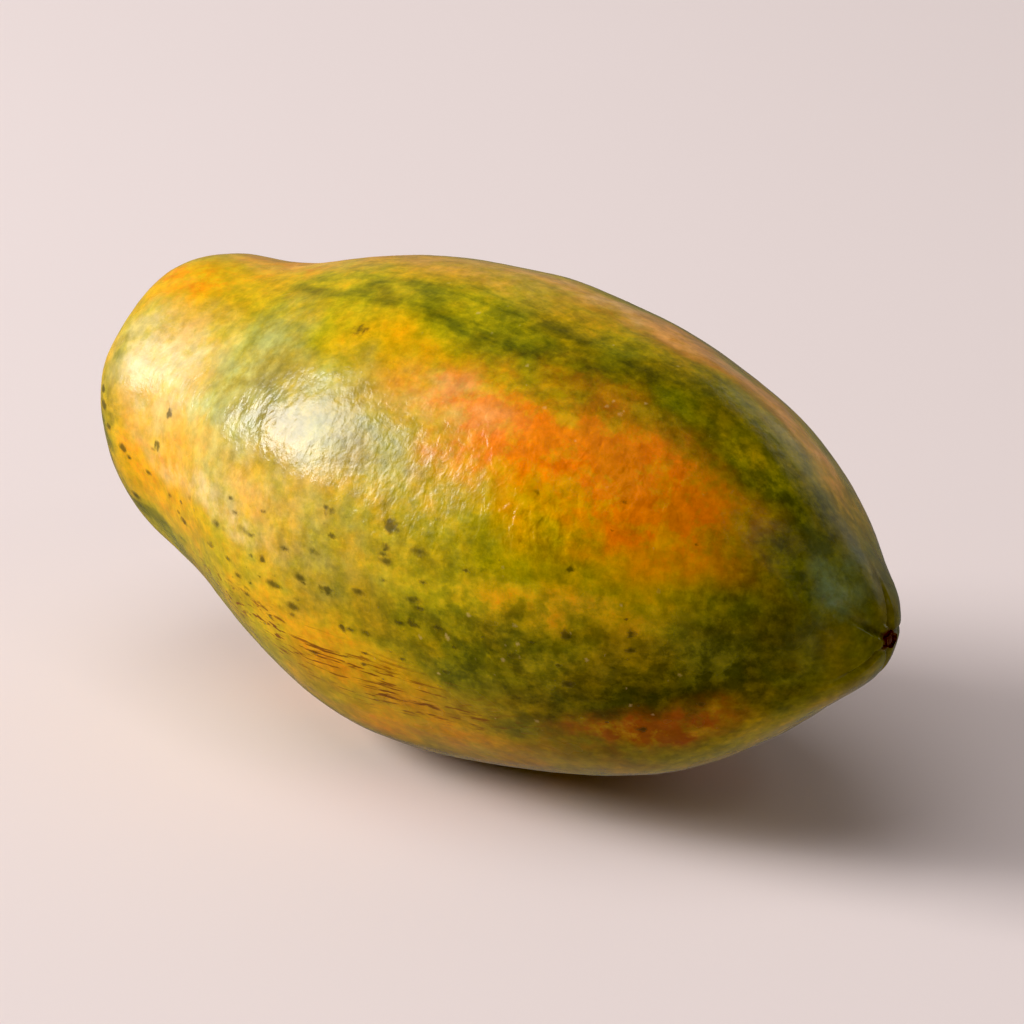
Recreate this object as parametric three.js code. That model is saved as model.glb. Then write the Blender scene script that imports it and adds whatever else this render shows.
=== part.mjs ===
// A papaya as picked: a pear-shaped fruit lying on its side, with the dried stub of its stem in the pit
// at its narrow end. Millimetres, +Z up. The fruit lies along X with its stem end towards -X and its
// blossom tip towards +X. The origin is on the surface that it lies on, under the middle of its box.
import * as THREE from "three";

// The fruit's own line runs from x = 0 at the stem end's rim to LENGTH at the blossom tip.
const LENGTH = 193;
const BELLY_RADIUS = 49.2;

// Half of the fruit's lengthwise section, from the middle of the stem pit, over the rim and the shoulder,
// along the neck and the belly, to the button that the flower left on the blossom tip.
const PIT_DEPTH = 4.6;
const PIT_FLOOR_RADIUS = 9.8;
const RIM_RADIUS = 15;
const BUTTON_RADIUS = 2.3;
const SECTION = [
  [PIT_DEPTH, 0],
  [PIT_DEPTH, PIT_FLOOR_RADIUS / 2],
  [PIT_DEPTH - 0.1, PIT_FLOOR_RADIUS],
  [PIT_DEPTH / 2, 11],
  [0.6, 12.6],
  [0, RIM_RADIUS],
  [1.6, 20.6],
  [6, 25.8],
  [14.5, 30.4],
  [25, 32.8],
  [38.5, 37],
  [56, 44],
  [75, 48],
  [94, BELLY_RADIUS],
  [114, 47.6],
  [133, 44.4],
  [150, 38.8],
  [165, 30],
  [178, 19.2],
  [187, 11.6],
  [190.9, 6.8],
  [192, 4],
  [192.2, BUTTON_RADIUS + 0.5],
  [LENGTH - 0.1, BUTTON_RADIUS],
  [LENGTH, 0],
];
const RINGS_PER_SPAN = 3;
const SIDES = 70; // round the fruit: a whole number of facets on each of its five lobes

// The five seams of the fruit pull its round section in, most of all towards the two ends.
const LOBES = 5;
const LOBE_TURN = THREE.MathUtils.degToRad(18); // from +Y to a lobe's crest, which puts a seam underneath
const LOBE_DEPTH = { tip: 0.03, belly: 0.006, stem: 0.015 }; // share of the radius

// The neck bends upwards from the line of the belly.
const NECK_LIFT = 8.4;
const NECK_END = 0.45; // share of the length where the bend has died out

// Broad swells and hollows: height, waves along the fruit, waves round it, and where they start.
const SWELLS = [
  { height: 0.55, along: 1.3, around: 2, start: 1.4 },
  { height: 0.35, along: 2.6, around: 3, start: 3.8 },
  { height: 0.25, along: 4.1, around: 1, start: 3.3 },
];

// Its own weight flattens the skin where the fruit lies.
const FLAT_DEPTH = 1.1;

// The dried stem stub: a corky ring round a hollow with a nub of pith in the middle.
const STUB_GAP = 0.3; // between the stub and the fruit
const STUB_RADIUS = 9;
const STUB_OVAL = 0.93; // its height against its width
const STUB_SIDES = 40;
const STUB_SECTION = [
  [PIT_DEPTH - 3.1, 0],
  [PIT_DEPTH - 2.9, STUB_RADIUS * 0.2],
  [PIT_DEPTH - 2.0, STUB_RADIUS * 0.36],
  [PIT_DEPTH - 2.2, STUB_RADIUS * 0.5],
  [PIT_DEPTH - 3.4, STUB_RADIUS * 0.62],
  [PIT_DEPTH - 4.0, STUB_RADIUS * 0.8],
  [PIT_DEPTH - 3.1, STUB_RADIUS * 0.95],
  [PIT_DEPTH - 1.6, STUB_RADIUS],
  [PIT_DEPTH - STUB_GAP, STUB_RADIUS * 0.9],
  [PIT_DEPTH - STUB_GAP, 0],
];
const STUB_RAGGED = { height: 0.45, teeth: 9 }; // the ring's broken edge

const smooth = THREE.MathUtils.smoothstep;

// How far the middle of the fruit stands above the belly's line at x.
function neckLift(x) {
  const share = Math.max(0, 1 - x / (LENGTH * NECK_END));
  return NECK_LIFT * share * share;
}

function lobeDepth(x) {
  const nearStem = 1 - smooth(x, 0, 0.3 * LENGTH);
  const nearTip = smooth(x, 0.62 * LENGTH, 0.97 * LENGTH);
  return (
    LOBE_DEPTH.belly +
    (LOBE_DEPTH.stem - LOBE_DEPTH.belly) * nearStem +
    (LOBE_DEPTH.tip - LOBE_DEPTH.belly) * nearTip
  );
}

function swell(x, angle) {
  const share = x / LENGTH;
  const held = smooth(share, 0.03, 0.2) * (1 - smooth(share, 0.8, 0.97));
  let height = 0;
  for (const w of SWELLS) {
    height += w.height * Math.sin(2 * Math.PI * w.along * share + w.start) * Math.cos(w.around * angle + w.start);
  }
  return held * height;
}

// The section's points, close enough together to be a smooth line. A section that ends on the axis is
// carried on past it as its own mirror image, so that the end comes out round.
function smoothLine(section, spans) {
  const points = section.map(([x, r]) => new THREE.Vector3(x, r, 0));
  const [x, r] = section[section.length - 2];
  const curve = new THREE.CatmullRomCurve3([...points, new THREE.Vector3(x, -r, 0)], false, "centripetal");
  const steps = spans * (section.length - 1);
  const line = [];
  for (let i = 0; i <= steps; i++) {
    const p = curve.getPoint(i / (steps + spans));
    line.push([p.x, i === 0 || i === steps ? 0 : p.y]);
  }
  return line;
}

// A closed skin from a line whose two ends lie on the axis. place(x, r, angle) gives each point.
function skinOf(line, sides, place) {
  const positions = [];
  const faces = [];
  positions.push(...place(line[0][0], 0, 0));
  for (let i = 1; i < line.length - 1; i++) {
    for (let j = 0; j < sides; j++) {
      positions.push(...place(line[i][0], line[i][1], (2 * Math.PI * j) / sides));
    }
  }
  const last = positions.length / 3;
  positions.push(...place(line[line.length - 1][0], 0, 0));
  const at = (ring, side) => 1 + ring * sides + (side % sides);
  const rings = line.length - 2;
  for (let j = 0; j < sides; j++) {
    faces.push(0, at(0, j + 1), at(0, j));
    faces.push(last, at(rings - 1, j), at(rings - 1, j + 1));
  }
  for (let i = 0; i < rings - 1; i++) {
    for (let j = 0; j < sides; j++) {
      faces.push(at(i, j), at(i, j + 1), at(i + 1, j));
      faces.push(at(i, j + 1), at(i + 1, j + 1), at(i + 1, j));
    }
  }
  const skin = new THREE.BufferGeometry();
  skin.setAttribute("position", new THREE.Float32BufferAttribute(positions, 3));
  skin.setIndex(faces);
  return skin;
}

function placeOnFruit(x, r, angle) {
  const lobed = r * (1 + lobeDepth(x) * Math.cos(LOBES * (angle - LOBE_TURN)));
  const radius = r > 0 ? lobed + swell(x, angle) : 0;
  return [x, radius * Math.cos(angle), neckLift(x) + radius * Math.sin(angle)];
}

function placeOnStub(x, r, angle) {
  const share = r / STUB_RADIUS;
  const onRing = smooth(share, 0.55, 0.8) * (x < PIT_DEPTH - 2.8 ? 1 : 0);
  const ragged = STUB_RAGGED.height * Math.sin(STUB_RAGGED.teeth * angle) * Math.cos(2 * angle + 1);
  return [x + onRing * ragged, r * Math.cos(angle), neckLift(0) + r * STUB_OVAL * Math.sin(angle)];
}

function makeFruit() {
  const fruit = skinOf(smoothLine(SECTION, RINGS_PER_SPAN), SIDES, placeOnFruit);
  const points = fruit.getAttribute("position");
  fruit.computeBoundingBox();
  const floor = fruit.boundingBox.min.z + FLAT_DEPTH;
  for (let i = 0; i < points.count; i++) {
    points.setZ(i, Math.max(points.getZ(i), floor));
  }
  fruit.computeBoundingBox();
  return fruit;
}

function makeStub() {
  return skinOf(smoothLine(STUB_SECTION, 2), STUB_SIDES, placeOnStub);
}

const fruit = makeFruit();
const stub = makeStub();
const { min, max } = fruit.boundingBox.clone();
for (const piece of [fruit, stub]) {
  piece.translate(-(min.x + max.x) / 2, -(min.y + max.y) / 2, -min.z);
  piece.computeVertexNormals();
}

const papaya = new THREE.Group();
const skinMaterial = new THREE.MeshStandardMaterial({ color: 0xb89a1c, roughness: 0.38, metalness: 0 });
const corkMaterial = new THREE.MeshStandardMaterial({ color: 0x5c3f22, roughness: 0.9, metalness: 0 });
for (const [name, geometry, material] of [
  ["fruit", fruit, skinMaterial],
  ["stem_stub", stub, corkMaterial],
]) {
  const mesh = new THREE.Mesh(geometry, material);
  mesh.name = name;
  papaya.add(mesh);
}

export default papaya;
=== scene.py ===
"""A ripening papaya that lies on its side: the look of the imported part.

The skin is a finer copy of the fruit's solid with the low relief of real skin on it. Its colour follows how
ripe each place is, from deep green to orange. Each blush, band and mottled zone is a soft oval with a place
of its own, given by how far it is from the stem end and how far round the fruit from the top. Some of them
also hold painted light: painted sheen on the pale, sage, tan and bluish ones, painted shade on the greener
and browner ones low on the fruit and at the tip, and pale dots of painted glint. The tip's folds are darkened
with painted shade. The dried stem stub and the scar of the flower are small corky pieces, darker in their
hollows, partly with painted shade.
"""

from __future__ import annotations

import logging
import math
import random
from collections.abc import Callable, Iterable
from dataclasses import dataclass
from enum import Enum
from functools import partial
from typing import ClassVar

import bmesh
import bpy
from mathutils import Matrix, Vector, noise

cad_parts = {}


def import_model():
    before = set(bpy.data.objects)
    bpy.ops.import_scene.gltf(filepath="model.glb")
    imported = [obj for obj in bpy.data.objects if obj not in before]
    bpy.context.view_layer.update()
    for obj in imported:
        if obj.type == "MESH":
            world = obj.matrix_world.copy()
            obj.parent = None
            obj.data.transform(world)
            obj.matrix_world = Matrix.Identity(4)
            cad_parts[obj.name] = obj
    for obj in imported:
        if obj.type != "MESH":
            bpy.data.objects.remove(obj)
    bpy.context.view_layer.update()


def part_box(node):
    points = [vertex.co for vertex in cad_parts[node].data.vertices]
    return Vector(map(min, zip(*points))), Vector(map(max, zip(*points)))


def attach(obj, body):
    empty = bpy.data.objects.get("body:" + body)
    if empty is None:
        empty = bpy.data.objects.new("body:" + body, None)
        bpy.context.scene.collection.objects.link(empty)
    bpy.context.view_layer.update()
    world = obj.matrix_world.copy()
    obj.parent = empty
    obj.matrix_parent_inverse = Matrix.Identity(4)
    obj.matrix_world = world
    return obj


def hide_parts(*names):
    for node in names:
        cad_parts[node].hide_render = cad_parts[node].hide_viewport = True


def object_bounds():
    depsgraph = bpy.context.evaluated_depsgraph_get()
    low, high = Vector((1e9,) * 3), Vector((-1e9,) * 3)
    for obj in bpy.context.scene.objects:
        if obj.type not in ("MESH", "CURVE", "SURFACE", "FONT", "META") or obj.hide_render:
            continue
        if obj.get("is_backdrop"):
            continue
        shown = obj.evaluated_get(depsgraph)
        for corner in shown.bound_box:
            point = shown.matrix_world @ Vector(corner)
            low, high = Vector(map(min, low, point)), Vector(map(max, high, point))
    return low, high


log = logging.getLogger("papaya")

MM = 0.001
BODY = "root"
FACING = 0.9  # how much of a normal points along an axis where a face counts as facing that way

Colour = tuple[float, float, float]
Socket = bpy.types.NodeSocket


# ------------------------------------------------------------------------------------------------------
# Steps of modelling by hand
# ------------------------------------------------------------------------------------------------------


def deselect_all() -> None:
    """Leaves object mode with nothing selected."""
    if bpy.context.object and bpy.context.object.mode != "OBJECT":
        bpy.ops.object.mode_set(mode="OBJECT")
    bpy.ops.object.select_all(action="DESELECT")


def pick(piece: bpy.types.Object) -> None:
    """Makes one piece the only selected and the active one.

    Args:
        piece: the object to pick.
    """
    deselect_all()
    piece.select_set(True)
    bpy.context.view_layer.objects.active = piece


def settle(piece: bpy.types.Object, name: str) -> bpy.types.Object:
    """Names a piece and puts its place, turn and scale into its mesh.

    Args:
        piece: the object to settle.
        name: its new name, which its mesh takes too.

    Returns:
        The same object, at the origin.
    """
    pick(piece)
    bpy.ops.object.transform_apply(location=True, rotation=True, scale=True)
    piece.name = name
    piece.data.name = name
    return piece


def select_faces(piece: bpy.types.Object, wanted: Callable[[Vector, Vector], bool]) -> int:
    """Enters edit mode and selects the faces that pass a test.

    Args:
        piece: the mesh object.
        wanted: is given a face's centre and its normal, and says whether to select it.

    Returns:
        How many faces are selected.
    """
    pick(piece)
    bpy.ops.object.mode_set(mode="EDIT")
    bpy.ops.mesh.select_mode(type="FACE")
    bpy.ops.mesh.select_all(action="DESELECT")
    mesh = bmesh.from_edit_mesh(piece.data)
    count = 0
    for face in mesh.faces:
        if wanted(face.calc_center_median(), face.normal):
            face.select_set(True)
            count += 1
    bmesh.update_edit_mesh(piece.data)
    return count


def push(by: Vector, grow: float = 1.0, about: Vector | None = None) -> None:
    """Extrudes the selected faces, then scales the new end about a point.

    Args:
        by: how far the new end moves.
        grow: how much wider or narrower it gets, across the fruit's length.
        about: the point that it grows from, or None to leave its size alone.
    """
    bpy.ops.mesh.extrude_region_move(TRANSFORM_OT_translate={"value": by})
    if about is not None:
        bpy.ops.transform.resize(value=(1, grow, grow), center_override=about)


def weigh(piece: bpy.types.Object, name: str, weight: Callable[[Vector], float]) -> None:
    """Gives a piece a vertex group whose weight is worked out at each vertex.

    Args:
        piece: the mesh object.
        name: the group's name.
        weight: is given a vertex's place, and gives its weight from 0 to 1.
    """
    group = piece.vertex_groups.new(name=name)
    for vertex in piece.data.vertices:
        share = weight(vertex.co)
        if share > 0:
            group.add([vertex.index], min(share, 1.0), "REPLACE")


def paint(piece: bpy.types.Object, name: str, value: Callable[[Vector], float]) -> None:
    """Gives a piece an attribute that is worked out at each vertex.

    Args:
        piece: the mesh object.
        name: the attribute's name.
        value: is given a vertex's place, and gives the number to store there.
    """
    attribute = piece.data.attributes.new(name, "FLOAT", "POINT")
    attribute.data.foreach_set("value", [value(vertex.co) for vertex in piece.data.vertices])


def apply_all(piece: bpy.types.Object) -> None:
    """Applies each modifier of a piece, in order.

    Args:
        piece: the mesh object.
    """
    pick(piece)
    for modifier in list(piece.modifiers):
        bpy.ops.object.modifier_apply(modifier=modifier.name)


def subdivide(piece: bpy.types.Object, levels: int) -> None:
    """Subdivides a piece to a smooth surface.

    Args:
        piece: the mesh object.
        levels: how many times each face is divided.
    """
    smooth = piece.modifiers.new("smooth", "SUBSURF")
    smooth.levels = levels
    smooth.render_levels = levels
    apply_all(piece)


def dress(piece: bpy.types.Object, material: bpy.types.Material) -> None:
    """Shades a finished piece smoothly and gives it its material.

    Args:
        piece: the mesh object.
        material: its only material.
    """
    pick(piece)
    bpy.ops.object.shade_smooth()
    piece.data.materials.clear()
    piece.data.materials.append(material)
    log.info("%s: %d faces", piece.name, len(piece.data.polygons))


def smoothstep(value: float, low: float, high: float) -> float:
    """Carries a number softly from 0 at low to 1 at high."""
    share = min(max((value - low) / (high - low), 0.0), 1.0)
    return share * share * (3 - 2 * share)


@dataclass(frozen=True)
class Relief:
    """Low relief on a surface, in metres.

    Attributes:
        height: how far its highest places stand above its lowest, or with no grain, how far it lifts.
        grain: the size of its bumps, or 0 for an even lift.
        stretch: how many times longer the bumps are along the fruit.
        depth: how many finer octaves it has.
        hard: whether the bumps meet in creases.
        group: the vertex group that it is kept to, or an empty name.
        direction: which way it moves the surface, NORMAL or an axis.
    """

    height: float
    grain: float = 0.0
    stretch: float = 1.0
    depth: int = 1
    hard: bool = False
    group: str = ""
    direction: str = "NORMAL"

    def press(self, piece: bpy.types.Object, name: str) -> None:
        """Presses the relief into a piece.

        Args:
            piece: the mesh object.
            name: the name of the relief's texture.
        """
        displace = piece.modifiers.new(name, "DISPLACE")
        displace.strength = self.height
        displace.vertex_group = self.group
        displace.direction = self.direction
        displace.mid_level = 0.5 if self.grain else 0.0
        guide = None
        if self.grain:
            clouds = bpy.data.textures.new(name, "CLOUDS")
            clouds.noise_scale = self.grain
            clouds.noise_depth = self.depth
            clouds.noise_type = "HARD_NOISE" if self.hard else "SOFT_NOISE"
            deselect_all()
            bpy.ops.object.empty_add()
            guide = bpy.context.object
            guide.scale = (self.stretch, 1, 1)
            displace.texture = clouds
            displace.texture_coords = "OBJECT"
            displace.texture_coords_object = guide
        apply_all(piece)
        if guide is not None:
            bpy.data.objects.remove(guide)


def sink(piece: bpy.types.Object, name: str, depth: float, where: Callable[[Vector], float]) -> None:
    """Sinks hollows into a piece.

    Args:
        piece: the mesh object.
        name: the name of the hollows' vertex group.
        depth: how deep a full hollow is, in metres.
        where: is given a place, and gives how deep it lies in a hollow, from 0 to 1.
    """
    weigh(piece, name, where)
    Relief(height=-depth, group=name).press(piece, name)


# ------------------------------------------------------------------------------------------------------
# Places on the fruit
# ------------------------------------------------------------------------------------------------------


@dataclass(frozen=True)
class Spot:
    """A place on the fruit's surface, with the directions out of it and along the fruit."""

    place: Vector
    out: Vector
    along: Vector


class FruitForm:
    """The fruit's solid, as something to find places on."""

    def __init__(self, node: str, stub_node: str) -> None:
        """Reads the solid's box and its two ends.

        Args:
            node: the name of the fruit's solid.
            stub_node: the name of the stem stub's solid, which stands in the middle of the pit.
        """
        self.solid: bpy.types.Object = bpy.data.objects[node]
        self.low, self.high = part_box(node)
        self.middle_height = (self.low.z + self.high.z) / 2
        stub_low, stub_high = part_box(stub_node)
        self.pit = (stub_low + stub_high) / 2
        self.tip = max((v.co for v in self.solid.data.vertices), key=lambda place: place.x).copy()

    def spot(self, along: float, around: float) -> Spot:
        """Finds a place on the skin.

        Args:
            along: from the stem end, in mm.
            around: from the top, in degrees, more towards -Y.

        Returns:
            The spot.
        """
        angle = math.radians(around)
        outwards = Vector((0.0, -math.sin(angle), math.cos(angle)))
        middle = Vector((self.low.x + along * MM, 0.0, self.middle_height))
        start = middle + outwards * (self.high.x - self.low.x)
        hit, place, normal, _ = self.solid.ray_cast(start, -outwards)
        if not hit:
            raise ValueError(f"no skin at {along} mm, {around} degrees")
        forwards = Vector((1.0, 0.0, 0.0))
        return Spot(place, normal, (forwards - normal * forwards.dot(normal)).normalized())


@dataclass(frozen=True)
class Patch:
    """A soft oval on the skin.

    Attributes:
        name: what it is.
        along: from the stem end to its middle, in mm.
        around: from the top of the fruit to its middle, in degrees, more towards -Y.
        length: along the fruit, in mm.
        width: around the fruit, in mm.
        amount: what it adds at its middle.
        turn: how far its length is turned, in degrees.
        edge: how soft it is, from 0 to 1.
        depth: how far it reaches below the skin, in mm.
    """

    name: str
    along: float
    around: float
    length: float
    width: float
    amount: float = 1.0
    turn: float = 0.0
    edge: float = 0.6
    depth: float = 26.0

    def placing(self, form: FruitForm) -> Matrix:
        """Gives the matrix that carries a ball of radius 1 to the oval."""
        spot = form.spot(self.along, self.around)
        turned = Matrix.Rotation(math.radians(self.turn), 3, spot.out)
        across = spot.out.cross(spot.along)
        axes = Matrix((turned @ spot.along, turned @ across, spot.out)).transposed()
        size = Matrix.Diagonal((self.length / 2 * MM, self.width / 2 * MM, self.depth * MM, 1))
        return Matrix.Translation(spot.place) @ axes.to_4x4() @ size

    def cover(self, form: FruitForm) -> Callable[[Vector], float]:
        """Gives a function from a place to how much of the patch lies there."""
        placing = self.placing(form)
        centre = placing.translation
        inwards = placing.inverted()
        reach = (1 + self.edge) * max(self.length / 2, self.width / 2, self.depth) * MM

        def at(place: Vector) -> float:
            """Gives how much of the patch lies at a place."""
            if (place - centre).length > reach:
                return 0.0
            return self.amount * (1 - smoothstep((inwards @ place).length, 1 - self.edge, 1 + self.edge))

        return at


def cover_of(patches: Iterable[Patch], form: FruitForm) -> Callable[[Vector], float]:
    """Gives a function from a place to how much all of the patches together add there."""
    covers = [patch.cover(form) for patch in patches]
    return lambda place: sum(cover(place) for cover in covers)


@dataclass(frozen=True)
class Drift:
    """Moves places about a little, so that the edges of patches wander.

    Attributes:
        waves: the waves in a metre of each step, and how far it can move a place, in metres.
        stretch: how many times longer the waves are along the fruit.
        seed: which of all such drifts it is.
    """

    waves: tuple[tuple[float, float], ...] = ((24, 3.5 * MM), (95, 5 * MM), (240, 2.5 * MM))
    stretch: float = 1.6
    seed: int = 7

    def start(self) -> None:
        """Sets the noise's seed, so that each run moves the places alike."""
        noise.seed_set(self.seed)

    def moved(self, place: Vector) -> Vector:
        """Gives the place moved about."""
        for scale, reach in self.waves:
            waves = Vector((place.x / self.stretch, place.y, place.z)) * scale
            place = place + noise.noise_vector(waves) * reach
        return place


# ------------------------------------------------------------------------------------------------------
# Steps of mixing a finish
# ------------------------------------------------------------------------------------------------------


@dataclass(frozen=True)
class Waves:
    """The waves of a noise.

    Attributes:
        scale: waves in a metre, across the fruit.
        detail: how many finer octaves it has.
        rough: how strong those are.
        stretch: how many times longer the waves are along the fruit.
        shift: how far they are moved, so that two noises differ.
    """

    scale: float
    detail: float = 2.0
    rough: float = 0.5
    stretch: float = 1.0
    shift: float = 0.0


class Mixture:
    """A material's nodes, with one short method for each kind of step."""

    # A Mix node has sockets for each kind of data. These are the ones for colours.
    MIX_SHARE: ClassVar[int] = 0
    MIX_A: ClassVar[int] = 6
    MIX_B: ClassVar[int] = 7
    MIX_RESULT: ClassVar[int] = 2

    HALF: ClassVar[tuple[float, float, float]] = (0.5, 0.5, 0.5)  # the middle of a noise

    def __init__(self, name: str) -> None:
        """Starts an empty material.

        Args:
            name: the material's name.
        """
        self.material = bpy.data.materials.new(name)
        self.material.use_nodes = True
        self.tree = self.material.node_tree
        self.tree.nodes.clear()
        self.shader = self.tree.nodes.new("ShaderNodeBsdfPrincipled")
        output = self.tree.nodes.new("ShaderNodeOutputMaterial")
        self.tree.links.new(self.shader.outputs["BSDF"], output.inputs["Surface"])
        self.place: Socket = self.tree.nodes.new("ShaderNodeTexCoord").outputs["Object"]

    def feed(self, socket: Socket, value: Socket | float | Iterable[float]) -> None:
        """Links a socket to another, or sets its value.

        Args:
            socket: the input.
            value: an output to link, or a number, vector or colour to set.
        """
        if isinstance(value, bpy.types.NodeSocket):
            self.tree.links.new(value, socket)
        elif socket.type == "RGBA":
            socket.default_value = (*value, 1.0)
        else:
            socket.default_value = value

    def step(
        self, kind: str, inputs: dict[str | int, object], output: str | int = 0, **settings: object
    ) -> Socket:
        """Adds one node.

        Args:
            kind: the node's type, without its ShaderNode prefix.
            inputs: what goes into its sockets, by name or number.
            output: which of its outputs to hand on.
            **settings: its properties.

        Returns:
            The output.
        """
        node = self.tree.nodes.new("ShaderNode" + kind)
        for key, value in settings.items():
            setattr(node, key, value)
        for key, value in inputs.items():
            self.feed(node.inputs[key], value)
        return node.outputs[output]

    def math(self, operation: str, a: Socket | float, b: Socket | float = 0.0, clamp: bool = False) -> Socket:
        """Works out one sum.

        Args:
            operation: a Math node's operation.
            a: its first number.
            b: its second number.
            clamp: whether the result is kept from 0 to 1.

        Returns:
            The result.
        """
        return self.step("Math", {0: a, 1: b}, operation=operation, use_clamp=clamp)

    def product(self, *factors: Socket | float) -> Socket:
        """Multiplies numbers together."""
        result = factors[0]
        for factor in factors[1:]:
            result = self.math("MULTIPLY", result, factor)
        return result

    def vector(self, operation: str, a: Socket, b: Socket | Iterable[float]) -> Socket:
        """Works out one sum on vectors and returns the vector."""
        return self.step("VectorMath", {0: a, 1: b}, operation=operation)

    def away(self, place: Socket | Iterable[float]) -> Socket:
        """Gives how far each point is from a place."""
        return self.step("VectorMath", {0: self.place, 1: place}, output="Value", operation="DISTANCE")

    def soft(
        self, value: Socket, low: float, high: float, to_low: float = 0.0, to_high: float = 1.0
    ) -> Socket:
        """Carries a number softly from one range to another, and keeps it there.

        Args:
            value: the number.
            low: where it starts to change.
            high: where it stops.
            to_low: the result up to low.
            to_high: the result from high.

        Returns:
            The result.
        """
        return self.step(
            "MapRange",
            {"Value": value, "From Min": low, "From Max": high, "To Min": to_low, "To Max": to_high},
            interpolation_type="SMOOTHSTEP",
        )

    def mix(
        self, share: Socket | float, a: Socket | Colour, b: Socket | Colour, blend: str = "MIX"
    ) -> Socket:
        """Mixes two colours.

        Args:
            share: how much of b there is.
            a: the first colour.
            b: the second colour.
            blend: how they are mixed.

        Returns:
            The mixed colour.
        """
        inputs = {self.MIX_SHARE: share, self.MIX_A: a, self.MIX_B: b}
        return self.step("Mix", inputs, output=self.MIX_RESULT, data_type="RGBA", blend_type=blend)

    def darken(self, colour: Socket, shade: Socket) -> Socket:
        """Multiplies a colour by a grey."""
        grey = self.step("CombineColor", {"Red": shade, "Green": shade, "Blue": shade})
        return self.mix(1.0, colour, grey, "MULTIPLY")

    def spread(self, place: Socket | None, stretch: float, shift: float) -> Socket:
        """Moves and stretches the place that a pattern reads.

        Args:
            place: the place, or None for the piece's own.
            stretch: how many times longer the pattern is along the fruit.
            shift: how far it is moved, so that two patterns differ.

        Returns:
            The place to read.
        """
        inputs = {
            "Vector": place or self.place,
            "Location": (shift, shift, shift),
            "Scale": (1 / stretch, 1, 1),
        }
        return self.step("Mapping", inputs, vector_type="POINT")

    def noise(self, waves: Waves, place: Socket | None = None) -> Socket:
        """Adds a noise.

        Args:
            waves: its waves.
            place: the place that it reads, or None for the piece's own.

        Returns:
            The noise, about 0.5.
        """
        inputs = {
            "Vector": self.spread(place, waves.stretch, waves.shift),
            "Scale": waves.scale,
            "Detail": waves.detail,
            "Roughness": waves.rough,
        }
        return self.step("TexNoise", inputs)

    def swing(self, size: float, waves: Waves) -> Socket:
        """Adds a noise about 0, of the given size."""
        return self.math("MULTIPLY", self.math("SUBTRACT", self.noise(waves), 0.5), size)

    def bend(self, place: Socket, reach: float, waves: Waves) -> Socket:
        """Moves places about by a noise.

        Args:
            place: the places.
            reach: how far the noise can move them, in metres.
            waves: the noise's waves.

        Returns:
            The moved places.
        """
        moves = self.noise(waves).node.outputs["Color"]
        centred = self.vector("SUBTRACT", moves, self.HALF)
        return self.vector("ADD", place, self.vector("MULTIPLY", centred, (reach, reach, reach)))

    def painted(self, name: str) -> Socket:
        """Reads one of the piece's own attributes."""
        return self.step("Attribute", {}, output="Fac", attribute_name=name)

    def dots(self, style: Dots, zone: Socket) -> Socket:
        """Scatters dots.

        Args:
            style: their size and spacing.
            zone: the share of the places that they could take that they do take.

        Returns:
            1 on a dot and 0 beside it.
        """
        wobble = Waves(scale=5 / style.spacing, detail=2, rough=0.6, shift=style.shift)
        place = self.bend(self.place, style.wobble, wobble)
        spread = self.spread(place, style.stretch, style.shift)
        near = self.step("TexVoronoi", {"Vector": spread, "Scale": 1 / style.spacing})
        chance = self.step("SeparateColor", {"Color": near.node.outputs["Color"]})
        taken = self.soft(self.math("SUBTRACT", zone, chance), 0.0, style.fade)
        radius = style.radius / style.spacing
        size = self.math("MULTIPLY", chance.node.outputs["Green"], radius)
        size = self.math("ADD", size, radius / 2)
        dot = self.soft(self.math("DIVIDE", near, size), 1 - style.edge, 1 + style.edge, 1.0, 0.0)
        return self.product(dot, taken)

    def ramp(self, value: Socket, stops: Iterable[tuple[float, Colour]]) -> Socket:
        """Turns a number into a colour.

        Args:
            value: the number.
            stops: where each colour is, from 0 to 1.

        Returns:
            The colour.
        """
        colour = self.step("ValToRGB", {0: value})
        elements = colour.node.color_ramp.elements
        stops = list(stops)
        while len(elements) < len(stops):
            elements.new(1.0)
        for element, (at, shade) in zip(elements, stops):
            element.position = at
            element.color = (*shade, 1.0)
        return colour

    def bump(self, height: Socket, distance: float, under: Socket | None = None) -> Socket:
        """Turns a height into a surface direction.

        Args:
            height: from 0 to 1.
            distance: what a height of 1 stands for, in metres.
            under: the surface direction that it lies on.

        Returns:
            The surface direction.
        """
        inputs = {"Height": height, "Distance": distance, "Strength": 1.0}
        if under is not None:
            inputs["Normal"] = under
        return self.step("Bump", inputs)

    def finish(self, **sockets: Socket | float | Colour) -> bpy.types.Material:
        """Sets the shader's sockets.

        Args:
            **sockets: what goes into each, by its name in lower case with underscores.

        Returns:
            The material.
        """
        names = {s.name.lower().replace(" ", "_"): s.name for s in self.shader.inputs}
        for key, value in sockets.items():
            self.feed(self.shader.inputs[names[key]], value)
        return self.material


# ------------------------------------------------------------------------------------------------------
# Finishes
# ------------------------------------------------------------------------------------------------------


class Ripeness(Enum):
    """The colours of papaya skin as it ripens: how ripe, and the colour."""

    NIGHT_GREEN = (-0.20, (0.047, 0.049, 0.004))
    DEEP_GREEN = (0.00, (0.081, 0.073, 0.004))
    GREEN = (0.18, (0.150, 0.127, 0.003))
    OLIVE = (0.36, (0.254, 0.196, 0.003))
    OLIVE_YELLOW = (0.50, (0.390, 0.276, 0.003))
    GOLD = (0.64, (0.560, 0.342, 0.004))
    AMBER = (0.76, (0.680, 0.345, 0.004))
    ORANGE = (0.89, (0.760, 0.255, 0.003))
    DEEP_ORANGE = (1.00, (0.700, 0.180, 0.003))


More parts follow.
